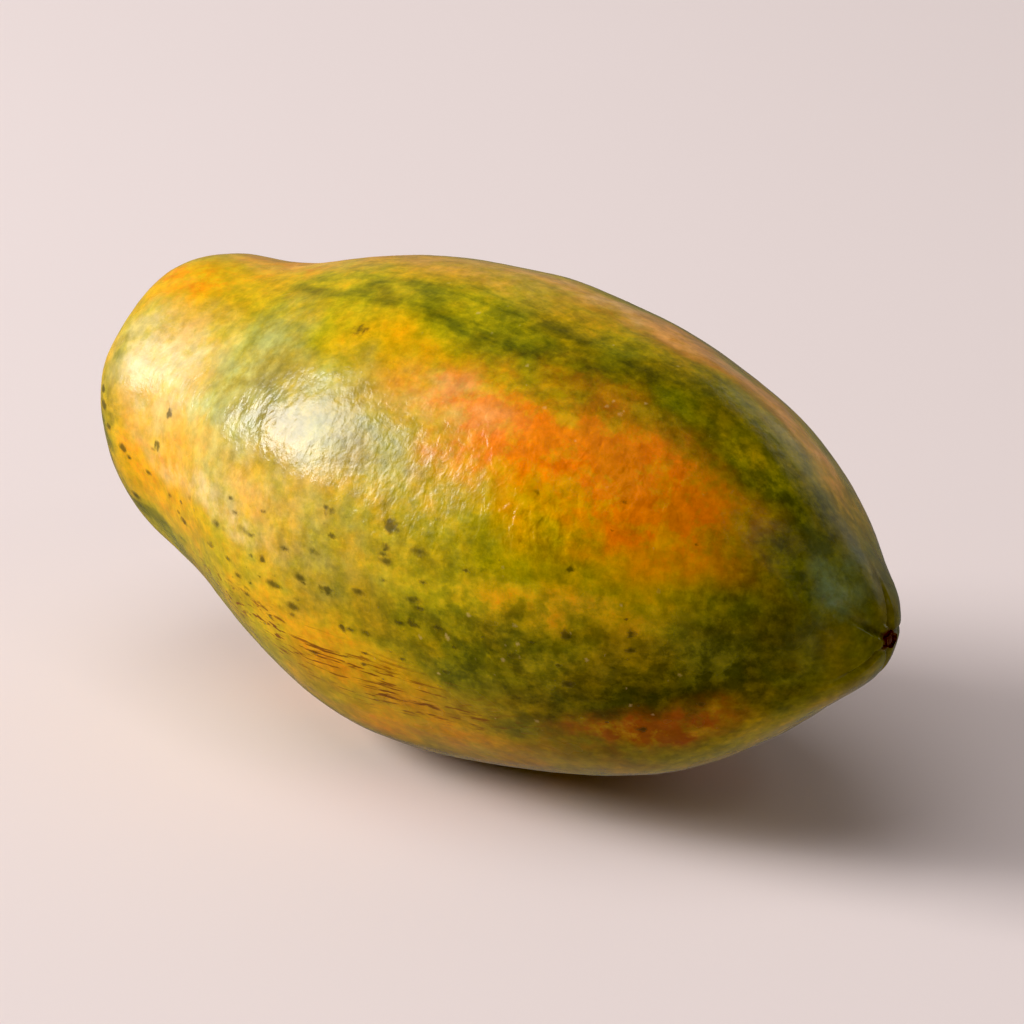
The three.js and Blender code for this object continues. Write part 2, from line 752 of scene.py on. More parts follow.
class Tint(Enum):
    """The other colours that lie over the ripening ones, some of them partly painted sheen or painted shade.
    """

    ORANGE = (0.760, 0.192, 0.003)
    # partly the skin's pale colour, partly painted sheen: the window's haze on the shoulder, under the shine
    # and at the start of the orange
    PALE = (0.740, 0.500, 0.195)
    # greener skin with painted sheen of the window's haze over it
    SAGE = (0.560, 0.530, 0.170)
    # tan skin, with painted rim reflection along the top edge and the stripe made lighter with painted light
    TAN = (0.900, 0.450, 0.110)
    OCHRE = (0.520, 0.240, 0.004)
    # rust-brown skin; near the floor and under the belly it is also painted shade
    RUST_AND_SHADE = (0.300, 0.085, 0.003)
    # waxy bloom with a painted reflection of the room on it, on the tip
    BLOOM = (0.155, 0.185, 0.062)
    SCRATCH = (0.200, 0.070, 0.003)
    FRECKLE = (0.045, 0.036, 0.003)
    BARK = (0.072, 0.024, 0.011)
    SCURF = (0.400, 0.235, 0.120)
    # painted shade along the folds of the blossom tip
    FOLD = (0.034, 0.034, 0.008)


@dataclass(frozen=True)
class Dots:
    """The size and spacing of scattered dots, in metres.

    Attributes:
        spacing: how far apart the places are that they could take.
        radius: the radius of a dot of middle size.
        stretch: how many times longer they are along the fruit.
        shift: how far they are moved, so that two kinds differ.
        edge: how soft they are, from 0 to 1.
        wobble: how far their outline wanders.
        fade: how softly they come and go where a zone of them ends, from 0 to 1.
    """

    spacing: float
    radius: float
    stretch: float
    shift: float
    edge: float = 0.4
    wobble: float = 1.0 * MM
    fade: float = 0.1


class StemPit:
    """The stem pit and its lip: how far from the pit's middle each band starts and ends, in metres."""

    BARK = (10.5 * MM, 13.5 * MM)
    SCURF = (13.5 * MM, 17.5 * MM)
    LIP_RISE = (9.5 * MM, 12 * MM)
    LIP_FALL = (14 * MM, 21 * MM)


class BlossomTip:
    """The blossom tip and the folds that meet there, in metres from the tip."""

    BARK = (1.5 * MM, 3.2 * MM)
    FOLDS = 5
    FOLD_START = (0.5 * MM, 2.5 * MM)
    FOLD_END = (3 * MM, 17 * MM)
    FOLD_DEPTH = 1.0 * MM
    FOLD_WIDTH = 3.2 * MM
    # how far beside a fold the painted shade starts and stops fading
    FOLD_LINE = (0.1 * MM, 1.9 * MM)


@dataclass(frozen=True)
class SkinFinish:
    """Waxy papaya skin.

    Attributes:
        ripeness: how ripe the skin is where no patch lies.
        ripening: what ripens or holds back each place.
        mottled: where green islands lie close together.
        streaked: where green streaks run along the fruit.
        tinted: where each other colour lies.
        scratched: where fine brown scratches run along the fruit.
        freckled: where dark freckles lie.
        marked: single dark marks.
        glint_speckled: where pale dots of painted glint lie.
        wrinkled: where fine folds run round the fruit.
        dulled: where the skin shines less.
        drift: how the patches' edges wander.
        big_freckles: the larger freckles.
        small_freckles: the smaller freckles.
        glint_specks: the pale dots of painted glint.
    """

    ripeness: float
    ripening: tuple[Patch, ...]
    mottled: tuple[Patch, ...]
    streaked: tuple[Patch, ...]
    tinted: dict[Tint, tuple[Patch, ...]]
    scratched: tuple[Patch, ...]
    freckled: tuple[Patch, ...]
    marked: tuple[Patch, ...]
    glint_speckled: tuple[Patch, ...]
    wrinkled: tuple[Patch, ...]
    dulled: tuple[Patch, ...]
    drift: Drift = Drift()
    big_freckles: Dots = Dots(spacing=4.9 * MM, radius=0.62 * MM, stretch=2.2, shift=0.37, edge=0.7)
    small_freckles: Dots = Dots(spacing=2.9 * MM, radius=0.36 * MM, stretch=2.4, shift=0.81, edge=0.7)
    glint_specks: Dots = Dots(spacing=3.2 * MM, radius=0.30 * MM, stretch=1.0, shift=0.53, edge=0.7)

    GREENEST: ClassVar[float] = -0.20  # the ripeness of the darkest green
    WAX: ClassVar[float] = 1.345  # the wax's index of refraction

    def stop(self, ripe: float, colour: Colour) -> tuple[float, Colour]:
        """Gives where a stage of ripeness lies on the ramp, which starts at the greenest skin."""
        return (ripe - self.GREENEST) / (1 - self.GREENEST), colour

    def paint(self, skin: bpy.types.Object, form: FruitForm) -> None:
        """Stores how ripe the skin is at each vertex, and how much of each kind of mark lies there.

        Args:
            skin: the skin.
            form: the fruit that it goes on.
        """
        self.drift.start()
        ripening = cover_of(self.ripening, form)
        paint(skin, "ripeness", lambda place: self.ripeness + ripening(self.drift.moved(place)))
        wandering = {"mottled": self.mottled, "streaked": self.streaked}
        wandering |= {tint.name.lower(): patches for tint, patches in self.tinted.items()}
        for name, patches in wandering.items():
            cover = cover_of(patches, form)
            paint(skin, name, lambda place: cover(self.drift.moved(place)))
        still = {"scratched": self.scratched, "freckled": self.freckled, "marked": self.marked}
        still |= {"glint_speckled": self.glint_speckled, "wrinkled": self.wrinkled, "dulled": self.dulled}
        for name, patches in still.items():
            paint(skin, name, cover_of(patches, form))

    def make(self, form: FruitForm) -> bpy.types.Material:
        """Mixes the finish.

        Args:
            form: the fruit that it goes on.

        Returns:
            The material.
        """
        mixture = Mixture("papaya_skin")
        colour = mixture.ramp(self.ripen(mixture), [self.stop(*stage.value) for stage in Ripeness])
        for tint in self.tinted:
            colour = self.lay_tint(mixture, colour, tint)
        colour = self.vary(mixture, colour)
        colour = self.scratch(mixture, colour)
        colour, marks = self.freckle(mixture, colour)
        colour = self.age_pit(mixture, form, colour)
        colour = self.age_tip(mixture, form, colour)
        return mixture.finish(
            base_color=colour,
            roughness=self.roughness(mixture, marks),
            normal=self.relief(mixture),
            ior=self.WAX,
        )

    def ripen(self, mixture: Mixture) -> Socket:
        """Works out how ripe each place is, with its mottles and streaks."""
        cloudy = mixture.swing(0.20, Waves(scale=40, detail=2, rough=0.5, stretch=1.6, shift=1.3))
        mottles = mixture.swing(0.66, Waves(scale=140, detail=6, rough=0.72, stretch=1.25, shift=5.9))
        grain = mixture.swing(0.34, Waves(scale=700, detail=3, rough=0.6, stretch=1.4, shift=9.7))
        islands = mixture.noise(Waves(scale=300, detail=5, rough=0.66, stretch=1.2, shift=11.3))
        streaks = mixture.noise(Waves(scale=200, detail=4, rough=0.62, stretch=7.0, shift=2.9))
        ripe = mixture.math("ADD", mixture.painted("ripeness"), cloudy)
        calm = mixture.soft(ripe, low=0.60, high=0.90, to_low=1.0, to_high=0.6)
        ripe = mixture.math("ADD", ripe, mixture.product(mottles, calm))
        for pattern, low, high, name, depth in (
            (islands, 0.40, 0.62, "mottled", 0.21),
            (streaks, 0.44, 0.66, "streaked", 0.20),
        ):
            greener = mixture.product(mixture.soft(pattern, low, high), mixture.painted(name), depth)
            ripe = mixture.math("SUBTRACT", ripe, greener)
        ripe = mixture.math("ADD", ripe, grain)
        return mixture.step("MapRange", {"Value": ripe, "From Min": self.GREENEST, "From Max": 1.0})

    def lay_tint(self, mixture: Mixture, colour: Socket, tint: Tint) -> Socket:
        """Lays one more colour over the ripening ones, thinner and thicker from place to place."""
        # The tint's red gives its grain a place of its own.
        waves = Waves(scale=170, detail=5, rough=0.68, shift=tint.value[0] * 9)
        grain = mixture.soft(mixture.noise(waves), low=0.34, high=0.66, to_low=0.25)
        share = mixture.product(mixture.painted(tint.name.lower()), grain)
        return mixture.mix(share, colour, tint.value)

    def vary(self, mixture: Mixture, colour: Socket) -> Socket:
        """Makes the colour a little browner or greener, and darker or lighter, from place to place."""
        greener, browner = (0.92, 1.05, 1.20), (1.06, 0.95, 0.80)
        tones = mixture.noise(Waves(scale=70, detail=3, rough=0.6, stretch=1.3, shift=14.1))
        tone = mixture.mix(mixture.soft(tones, low=0.35, high=0.65), greener, browner)
        colour = mixture.mix(1.0, colour, tone, "MULTIPLY")
        shades = mixture.noise(Waves(scale=310, detail=4, rough=0.65, stretch=1.1, shift=7.3))
        return mixture.darken(colour, mixture.soft(shades, low=0.28, high=0.72, to_low=0.80, to_high=1.15))

    def scratch(self, mixture: Mixture, colour: Socket) -> Socket:
        """Draws fine brown scratches along the fruit."""
        wander = Waves(scale=60, detail=2, rough=0.6, stretch=2.0, shift=1.7)
        place = mixture.bend(mixture.place, 3 * MM, wander)
        lines = mixture.noise(Waves(scale=1300, detail=3, rough=0.6, stretch=26, shift=2.2), place)
        lines = mixture.soft(lines, low=0.54, high=0.64)
        share = mixture.product(lines, mixture.painted("scratched"))
        return mixture.mix(share, colour, Tint.SCRATCH.value)

    def freckle(self, mixture: Mixture, colour: Socket) -> tuple[Socket, Socket]:
        """Scatters pale dots of painted glint and dark freckles; gives the colour and where the freckles are.
        """
        pale, dark = 0.32, 0.80
        # painted glints: pale dots that stand for glints of light on little bumps of the skin
        glints = mixture.dots(self.glint_specks, mixture.painted("glint_speckled"))
        colour = mixture.mix(mixture.product(glints, pale), colour, Tint.PALE.value)
        zone = mixture.painted("freckled")
        big, small = (mixture.dots(style, zone) for style in (self.big_freckles, self.small_freckles))
        ragged = mixture.swing(1.1, Waves(scale=700, detail=3, rough=0.6, shift=3.1))
        marks = mixture.math("ADD", mixture.painted("marked"), ragged)
        marks = mixture.soft(marks, low=0.28, high=0.80)
        marks = mixture.math("MAXIMUM", mixture.math("MAXIMUM", big, small), marks)
        return mixture.mix(mixture.product(marks, dark), colour, Tint.FRECKLE.value), marks

    def ragged_from(self, mixture: Mixture, place: Vector) -> Socket:
        """Gives how far each point is from a place, give or take a ragged few millimetres."""
        ragged = mixture.swing(4 * MM, Waves(scale=420, detail=4, rough=0.65))
        return mixture.math("ADD", mixture.away(place), ragged)

    def age_pit(self, mixture: Mixture, form: FruitForm, colour: Socket) -> Socket:
        """Browns the stem pit, with a pale flaky ring round it."""
        away = self.ragged_from(mixture, form.pit)
        flakes = mixture.noise(Waves(scale=520, detail=4, rough=0.7, shift=6.6))
        flakes = mixture.soft(flakes, low=0.42, high=0.58)
        on_lip = mixture.product(mixture.soft(away, *StemPit.SCURF, to_low=0.85, to_high=0.0), flakes)
        colour = mixture.mix(on_lip, colour, Tint.SCURF.value)
        in_pit = mixture.soft(away, *StemPit.BARK, to_low=1.0, to_high=0.0)
        return mixture.mix(in_pit, colour, Tint.BARK.value)

    def age_tip(self, mixture: Mixture, form: FruitForm, colour: Socket) -> Socket:
        """Paints shade along the folds that meet at the blossom tip, and browns the tip."""
        dark = 0.42
        # painted shade: the skin is darkened along the tip's folds
        fold = mixture.product(self.tip_folds(mixture, form), dark)
        colour = mixture.mix(fold, colour, Tint.FOLD.value)
        away = self.ragged_from(mixture, form.tip)
        at_tip = mixture.soft(away, *BlossomTip.BARK, to_low=1.0, to_high=0.0)
        return mixture.mix(at_tip, colour, Tint.BARK.value)

    def tip_folds(self, mixture: Mixture, form: FruitForm) -> Socket:
        """Gives where the painted shade lies along the folds that run out from the blossom tip."""
        across = mixture.step("SeparateXYZ", {0: mixture.vector("SUBTRACT", mixture.place, form.tip)})
        angle = mixture.math("ARCTAN2", across.node.outputs["Z"], across.node.outputs["Y"])
        wander = mixture.swing(1.2, Waves(scale=160, detail=2, rough=0.5))
        turn = mixture.math("ADD", mixture.math("MULTIPLY", angle, BlossomTip.FOLDS / 2), wander)
        off_fold = mixture.math("ABSOLUTE", mixture.math("SINE", turn))
        distance = mixture.away(form.tip)
        beside = mixture.product(off_fold, distance)
        line = mixture.soft(beside, *BlossomTip.FOLD_LINE, to_low=1.0, to_high=0.0)
        return mixture.product(line, mixture.soft(distance, *BlossomTip.FOLD_END, to_low=1.0, to_high=0.0))

    def roughness(self, mixture: Mixture, marks: Socket) -> Socket:
        """Varies the gloss, and dulls the dull places and the freckles."""
        dull_place, dull_mark = 0.16, 0.08
        clouds = mixture.noise(Waves(scale=60, detail=3, rough=0.6, stretch=1.5, shift=4.4))
        rough = mixture.soft(clouds, low=0.3, high=0.7, to_low=0.18, to_high=0.28)
        rough = mixture.math("ADD", rough, mixture.product(mixture.painted("dulled"), dull_place))
        return mixture.math("ADD", rough, mixture.math("MULTIPLY", marks, dull_mark), clamp=True)

    def relief(self, mixture: Mixture) -> Socket:
        """Gives the skin its leather grain and little folds."""
        least, fold_height, leather_height = 0.20, 0.095, 0.13
        wander = Waves(scale=150, detail=2, rough=0.6, shift=5.2)
        place = mixture.bend(mixture.place, 3 * MM, wander)
        folds = mixture.noise(Waves(scale=300, detail=2, rough=0.45, stretch=0.75, shift=6.1), place)
        folds = mixture.soft(folds, low=0.36, high=0.64)
        strength = mixture.math("ADD", mixture.painted("wrinkled"), least)
        folds = mixture.product(folds, strength, fold_height)
        leather = mixture.noise(Waves(scale=420, detail=3, rough=0.60, shift=8.2))
        leather = mixture.product(leather, leather_height)
        return mixture.bump(mixture.math("ADD", folds, leather), 1.0 * MM)


@dataclass(frozen=True)
class CorkFinish:
    """Dried, corky stem, darker towards its hollows, partly with painted shade.

    Attributes:
        name: the material's name.
        crest: where the outermost fibres are along the fruit, in metres.
        foot: where the deepest hollows are along the fruit, in metres.
        pith_middle: the middle of the pith.
        pith_radius: how far the pith reaches, in metres.
        hollow: the colour of the deepest hollows, partly the cork's own and partly painted shade.
        bark: the colour half way up.
        fibre: the colour of the crests.
        pith: the colour of the pith.
    """

    name: str
    crest: float
    foot: float
    pith_middle: Vector
    pith_radius: float
    hollow: Colour = (0.028, 0.012, 0.005)
    bark: Colour = (0.120, 0.060, 0.022)
    fibre: Colour = (0.520, 0.380, 0.190)
    pith: Colour = (0.330, 0.240, 0.070)

    def make(self) -> bpy.types.Material:
        """Mixes the finish.

        Returns:
            The material.
        """
        mixture = Mixture(self.name)
        along = mixture.step("SeparateXYZ", {0: mixture.place})
        along = mixture.math("ADD", along, mixture.swing(2.2 * MM, Waves(scale=600, detail=4, rough=0.65)))
        # Darker from the crests down into the hollows: partly the cork's own colour, partly painted shade.
        height = mixture.step("MapRange", {"Value": along, "From Min": self.foot, "From Max": self.crest})
        stops = ((0.20, self.hollow), (0.55, self.bark), (0.82, self.fibre), (1.00, self.fibre))
        colour = mixture.ramp(height, stops)
        ragged = mixture.swing(3 * MM, Waves(scale=500, detail=3, rough=0.6))
        away = mixture.math("ADD", mixture.away(self.pith_middle), ragged)
        in_pith = mixture.soft(away, self.pith_radius * 0.75, self.pith_radius * 1.1, to_low=0.9, to_high=0.0)
        colour = mixture.mix(in_pith, colour, self.pith)
        shades = mixture.noise(Waves(scale=1300, detail=4, rough=0.7))
        colour = mixture.darken(colour, mixture.soft(shades, low=0.3, high=0.65, to_low=0.35, to_high=1.0))
        fibres = mixture.noise(Waves(scale=1500, detail=3, rough=0.6, stretch=4.0))
        normal = mixture.bump(fibres, 0.5 * MM)
        return mixture.finish(base_color=colour, roughness=0.85, normal=normal, ior=1.35)


@dataclass(frozen=True)
class FloorFinish:
    """Smooth pale board."""

    colour: Colour = (0.800, 0.690, 0.670)

    def make(self) -> bpy.types.Material:
        """Mixes the finish.

        Returns:
            The material.
        """
        mixture = Mixture("pale_board")
        darker = tuple(channel * 0.98 for channel in self.colour)
        shade = mixture.mix(mixture.noise(Waves(scale=6, detail=3)), self.colour, darker)
        return mixture.finish(base_color=shade, roughness=0.6, ior=1.3)


# ------------------------------------------------------------------------------------------------------
# Pieces
# ------------------------------------------------------------------------------------------------------


@dataclass
class Fruit:
    """The whole fruit in its skin.

    Attributes:
        form: the fruit's solid.
        finish: the skin's finish.
        levels: how many times each face of the solid is divided.
        rest_height: up to where the skin is pressed against what it lies on, in metres.
        rest_fade: over how much height above that its relief begins, in metres.
        dimples: the little hollows round the stem pit, and a bruise.
        dimple_depth: how deep a full dimple is, in metres.
        swells: broad unevenness.
        furrows: shallow furrows along the fruit.
        leather: the smallest relief that is modelled all over.
        wrinkles: little folds that run round the fruit.
        lumps: the lumpy lip of the stem pit.
        pleats: how many pleats run into the pit.
        pleat_depth: how deep a pleat is, in metres.
    """

    form: FruitForm
    finish: SkinFinish
    levels: int = 2
    rest_height: float = 0.4 * MM
    rest_fade: float = 2.5 * MM
    dimples: tuple[Patch, ...] = ()
    dimple_depth: float = 0.7 * MM
    swells: Relief = Relief(height=0.9 * MM, grain=30 * MM, group="free_skin")
    furrows: Relief = Relief(height=0.45 * MM, grain=8 * MM, stretch=3.5, group="free_skin")
    leather: Relief = Relief(height=0.12 * MM, grain=3.6 * MM, depth=2, group="free_skin")
    wrinkles: Relief = Relief(height=0.13 * MM, grain=4.2 * MM, stretch=0.8, depth=1, group="wrinkled_skin")
    lumps: Relief = Relief(height=1.3 * MM, grain=3.4 * MM, stretch=2.0, depth=1, group="lip")
    pleats: int = 11
    pleat_depth: float = 0.9 * MM

    def build(self) -> None:
        """Builds the skin, dresses it and puts it in the place of the fruit's solid."""
        skin = self.copy_solid()
        self.shape(skin)
        self.finish.paint(skin, self.form)
        dress(skin, self.finish.make(self.form))
        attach(skin, BODY)
        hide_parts("fruit")

    def copy_solid(self) -> bpy.types.Object:
        """Copies the fruit's solid, as four-sided faces.

        Returns:
            The copy.
        """
        pick(self.form.solid)
        bpy.ops.object.duplicate()
        skin = bpy.context.object
        for key in list(skin.keys()):
            del skin[key]
        skin.parent = None
        settle(skin, "fruit_skin")
        bpy.ops.object.mode_set(mode="EDIT")
        bpy.ops.mesh.select_all(action="SELECT")
        bpy.ops.mesh.remove_doubles(threshold=0.001 * MM)
        bpy.ops.mesh.tris_convert_to_quads(face_threshold=math.pi, shape_threshold=math.pi)
        bpy.ops.object.mode_set(mode="OBJECT")
        return skin

    def shape(self, skin: bpy.types.Object) -> None:
        """Gives the copy the relief of real skin.

        Args:
            skin: the copy.
        """
        subdivide(skin, self.levels)
        free = self.rest_height + self.rest_fade
        weigh(skin, "free_skin", lambda place: smoothstep(place.z, self.rest_height, free))
        self.swells.press(skin, "swells")
        self.furrows.press(skin, "furrows")
        self.leather.press(skin, "leather")
        weigh(skin, "wrinkled_skin", cover_of(self.finish.wrinkled, self.form))
        self.wrinkles.press(skin, "wrinkles")
        sink(skin, "tip_folds", BlossomTip.FOLD_DEPTH, self.in_tip_fold)
        sink(skin, "dimples", self.dimple_depth, cover_of(self.dimples, self.form))
        weigh(skin, "lip", self.on_lip)
        self.lumps.press(skin, "lumps")
        sink(skin, "pleats", self.pleat_depth, self.in_pleat)

    def on_lip(self, place: Vector) -> float:
        """Gives how much of the pit's lumpy lip lies at a place, from 0 to 1."""
        away = (place - self.form.pit).length
        return smoothstep(away, *StemPit.LIP_RISE) * (1 - smoothstep(away, *StemPit.LIP_FALL))

    def in_pleat(self, place: Vector) -> float:
        """Gives how deep a place lies in a pleat that runs into the pit, from 0 to 1."""
        lip = self.on_lip(place)
        if lip == 0:
            return 0.0
        away = place - self.form.pit
        angle = math.atan2(away.z, away.y)
        # Slow waves make the pleats uneven: two in their spacing, one in their depth.
        uneven = 2.4 * math.sin(2 * angle) + 1.1 * math.sin(3 * angle)
        deep = 0.6 + 0.4 * math.sin(3 * angle + 1)
        wave = math.cos(self.pleats * angle + uneven)
        return lip * smoothstep(wave, -0.2, 1.0) * deep

    def in_tip_fold(self, place: Vector) -> float:
        """Gives how deep a place lies in a fold of the blossom tip, from 0 to 1."""
        away = place - self.form.tip
        distance = away.length
        end = BlossomTip.FOLD_END
        if distance > end[1]:
            return 0.0
        angle = math.atan2(away.z, away.y)
        beside = abs(math.sin(angle * BlossomTip.FOLDS / 2)) * distance
        across = 1 - smoothstep(beside, 0.0, BlossomTip.FOLD_WIDTH)
        return across * smoothstep(distance, *BlossomTip.FOLD_START) * (1 - smoothstep(distance, *end))


@dataclass(frozen=True)
class Rise:
    """One step of modelling a face outwards or back in.

    Attributes:
        by: how far it goes outwards, in depths or heights of its piece.
        grow: how much wider it gets.
        inset: how much narrower it is made first, in radii of its piece.
    """

    by: float
    grow: float
    inset: float = 0.0


@dataclass
class StemStub:
    """The dried stub of the stem: a thin corky wall with a broken edge, round a hollow with a plug of pith.

    Attributes:
        node: the name of its solid.
        sides: how many sides the wall is started with.
        foot: how thick its foot is, in depths.
        foot_radius: how wide its foot is, in radii.
        wall: the steps of the wall, up its outside and over its crest.
        plug: the steps of the hollow and the plug, down from the wall and up to the plug's crown.
        crown: the insets that make the crown round, in radii.
        levels: how many times each face is divided.
        crust: from where its surface is broken and over what length that begins, in depths from the back.
        flakes: how many raised bits stand on the wall.
        flake_angle: half the angle that the smallest and the largest flake take, in radians.
        flake_height: how high the lowest and the highest flake are, in depths.
        flake_lean: how far a flake can lean, for each unit that it rises.
        flake_taper: how much narrower a flake is at its end.
        flake_facing: how much of a face's normal has to point outwards for it to be part of a flake.
        inside_wall: where the wall starts, in radii from the middle.
        plug_offset: how far the plug stands from the middle, in radii.
        wander: how the wall and the plug wander: along which axis, how far and over what length, in mm.
        crumble: the broken edge.
        fibres: the fibres on it.
        seed: what the flakes' places are drawn with.
    """

    node: str = "stem_stub"
    sides: int = 28
    foot: float = 0.3
    foot_radius: float = 0.84
    wall: tuple[Rise, ...] = (
        Rise(0.20, 1.12),
        Rise(0.30, 0.97),
        Rise(0.12, 0.96),
        Rise(-0.20, 0.97, inset=0.11),
    )
    plug: tuple[Rise, ...] = (
        Rise(-0.32, 0.95),
        Rise(0.12, 0.96, inset=0.05),
        Rise(0.32, 0.92),
        Rise(-0.12, 0.85, inset=0.13),
    )
    crown: tuple[float, ...] = (0.16, 0.12)
    levels: int = 3
    crust: tuple[float, float] = (0.25, 0.2)
    flakes: int = 7
    flake_angle: tuple[float, float] = (0.12, 0.30)
    flake_height: tuple[float, float] = (0.04, 0.16)
    flake_lean: float = 0.4
    flake_taper: float = 0.97
    flake_facing: float = 0.8
    inside_wall: float = 0.72
    plug_offset: tuple[float, float] = (0.17, -0.12)
    wander: tuple[tuple[str, float, float], ...] = (("Y", 6.5, 5.6), ("Z", 6.0, 4.7), ("X", 4.0, 4.0))
    crumble: Relief = Relief(height=1.5 * MM, grain=2.6 * MM, depth=2, hard=True, group="crust")
    fibres: Relief = Relief(height=0.5 * MM, grain=0.9 * MM, stretch=3.0, depth=2, group="crust")
    seed: int = 7

    def build(self) -> None:
        """Builds the stub, dresses it and puts it in the place of its solid."""
        low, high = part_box(self.node)
        middle = (low + high) / 2
        radius = (high.y - low.y) / 2
        depth = high.x - low.x
        plug = middle + Vector((0, self.plug_offset[0] * radius, self.plug_offset[1] * radius))
        stub = self.shape(middle, plug, radius, depth)
        finish = CorkFinish(
            name="dry_cork",
            crest=low.x,
            foot=high.x - self.foot * depth,
            pith_middle=plug,
            pith_radius=0.52 * radius,
        )
        dress(stub, finish.make())
        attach(stub, BODY)
        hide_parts(self.node)

    def shape(self, middle: Vector, plug: Vector, radius: float, depth: float) -> bpy.types.Object:
        """Models the stub.

        Args:
            middle: the middle of its solid's box.
            plug: the middle of the plug of pith.
            radius: its radius.
            depth: how thick it is.

        Returns:
            The stub.
        """
        deselect_all()
        back = middle.x + depth / 2
        foot = self.foot * depth
        start = Vector((back - foot / 2, middle.y, middle.z))
        bpy.ops.mesh.primitive_cylinder_add(
            vertices=self.sides,
            radius=self.foot_radius * radius,
            depth=foot,
            location=start,
            rotation=(0, math.pi / 2, 0),
        )
        stub = settle(bpy.context.object, "stem_cork")
        out = Vector((-depth, 0, 0))
        select_faces(stub, lambda centre, normal: normal.x < -FACING)
        for about, rises in ((middle, self.wall), (plug, self.plug)):
            for rise in rises:
                if rise.inset:
                    bpy.ops.mesh.inset(thickness=rise.inset * radius)
                push(out * rise.by, rise.grow, about)
        for inset in self.crown:
            bpy.ops.mesh.inset(thickness=inset * radius)
        bpy.ops.mesh.poke()
        self.close_back(stub)
        self.raise_flakes(stub, middle, radius, depth)
        subdivide(stub, self.levels)
        begins, length = (share * depth for share in self.crust)
        weigh(stub, "crust", lambda place: smoothstep(back - begins - place.x, 0.0, length))
        for axis, reach, grain in self.wander:
            wave = Relief(height=reach * MM, grain=grain * MM, group="crust", direction=axis)
            wave.press(stub, "wander_" + axis)
        self.crumble.press(stub, "crumble")
        self.fibres.press(stub, "fibres")
        return stub

    def close_back(self, stub: bpy.types.Object) -> None:
        """Divides the back face, which a smooth surface can't be made from whole.

        Args:
            stub: the stub.
        """
        select_faces(stub, lambda centre, normal: normal.x > FACING)
        bpy.ops.mesh.inset(thickness=0.5 * MM)
        bpy.ops.mesh.poke()

    def raise_flakes(self, stub: bpy.types.Object, middle: Vector, radius: float, depth: float) -> None:
        """Pulls bits of the wall's crest up.

        Args:
            stub: the stub.
            middle: the middle of its box.
            radius: its radius.
            depth: how thick it is.
        """
        draw = random.Random(self.seed)
        for _ in range(self.flakes):
            angle = draw.uniform(0, 2 * math.pi)
            half_angle = draw.uniform(*self.flake_angle)
            height = draw.uniform(*self.flake_height) * depth

            def on_flake(centre: Vector, normal: Vector) -> bool:
                """Says whether a face is one of the flake's, on the crest of the wall."""
                from_middle = Vector((centre.y - middle.y, centre.z - middle.z))
                turn = math.atan2(from_middle.y, from_middle.x) - angle
                turn = (turn + math.pi) % (2 * math.pi) - math.pi
                on_wall = from_middle.length > self.inside_wall * radius
                return on_wall and abs(turn) < half_angle and normal.x < -self.flake_facing

            if select_faces(stub, on_flake):
                leans = [draw.uniform(-self.flake_lean, self.flake_lean) for _ in range(2)]
                push(Vector((-1, *leans)) * height, self.flake_taper, middle)


@dataclass
class BlossomScar:
    """The dried remains of the flower on the blossom tip: a little star with a hollow middle.

    Attributes:
        form: the fruit that it sits on.
        points: how many points the star has.
        radius: from its middle to a point, in metres.
        height: how far it stands out, in metres.
        sunk: how deep its foot stands in the fruit, in metres.
        side: how its sides rise, in heights.
        rim: the steps from its rim to its hollow: an inset in radii, and a rise in heights.
        levels: how many times each face is divided.
        shrivel: its wrinkled surface.
        notch: how deep the notches between its points are, in metres.
    """

    form: FruitForm
    points: int = 5
    radius: float = 2.1 * MM
    height: float = 0.9 * MM
    sunk: float = 0.8 * MM
    side: Rise = Rise(0.5, 0.86)
    rim: tuple[tuple[float, float], ...] = ((0.16, 0.25), (0.20, -0.70), (0.20, 0.0))
    levels: int = 2
    shrivel: Relief = Relief(height=0.7 * MM, grain=1.1 * MM, depth=2, hard=True)
    notch: float = 0.6 * MM

    def build(self) -> None:
        """Builds the scar and dresses it."""
        scar = self.shape()
        tip = self.form.tip
        finish = CorkFinish(
            name="dry_blossom",
            crest=tip.x + self.height,
            foot=tip.x - self.height,
            pith_middle=tip,
            pith_radius=0.2 * MM,
            bark=(0.070, 0.022, 0.010),
            fibre=(0.200, 0.085, 0.035),
        )
        dress(scar, finish.make())
        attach(scar, BODY)

    def shape(self) -> bpy.types.Object:
        """Models the scar.

        Returns:
            The scar.
        """
        tip = self.form.tip
        deselect_all()
        bpy.ops.mesh.primitive_cylinder_add(
            vertices=4 * self.points,
            radius=self.radius,
            depth=self.sunk,
            location=tip - Vector((self.sunk / 2, 0, 0)),
            rotation=(0, math.pi / 2, 0),
        )
        scar = settle(bpy.context.object, "blossom_scar")
        select_faces(scar, lambda centre, normal: normal.x < -FACING)
        bpy.ops.mesh.inset(thickness=0.3 * self.radius)
        bpy.ops.mesh.poke()
        select_faces(scar, lambda centre, normal: normal.x > FACING)
        out = Vector((self.height, 0, 0))
        push(out * self.side.by, self.side.grow, tip)
        for inset, rise in self.rim:
            bpy.ops.mesh.inset(thickness=inset * self.radius)
            if rise:
                bpy.ops.transform.translate(value=out * rise)
        bpy.ops.mesh.poke()
        bpy.ops.object.mode_set(mode="OBJECT")
        subdivide(scar, self.levels)
        weigh(scar, "between_points", self.between_points)
        self.shrivel.press(scar, "shrivel")
        Relief(height=-self.notch, group="between_points").press(scar, "star")
        return scar

    def between_points(self, place: Vector) -> float:
        """Gives how far a place on the rim lies from the nearest point of the star, from 0 to 1."""
        away = place - self.form.tip
        angle = math.atan2(away.z, away.y)
        off_point = abs(math.sin(angle * self.points / 2))
        across = math.hypot(away.y, away.z)
        return off_point * smoothstep(across, 0.5 * self.radius, self.radius)


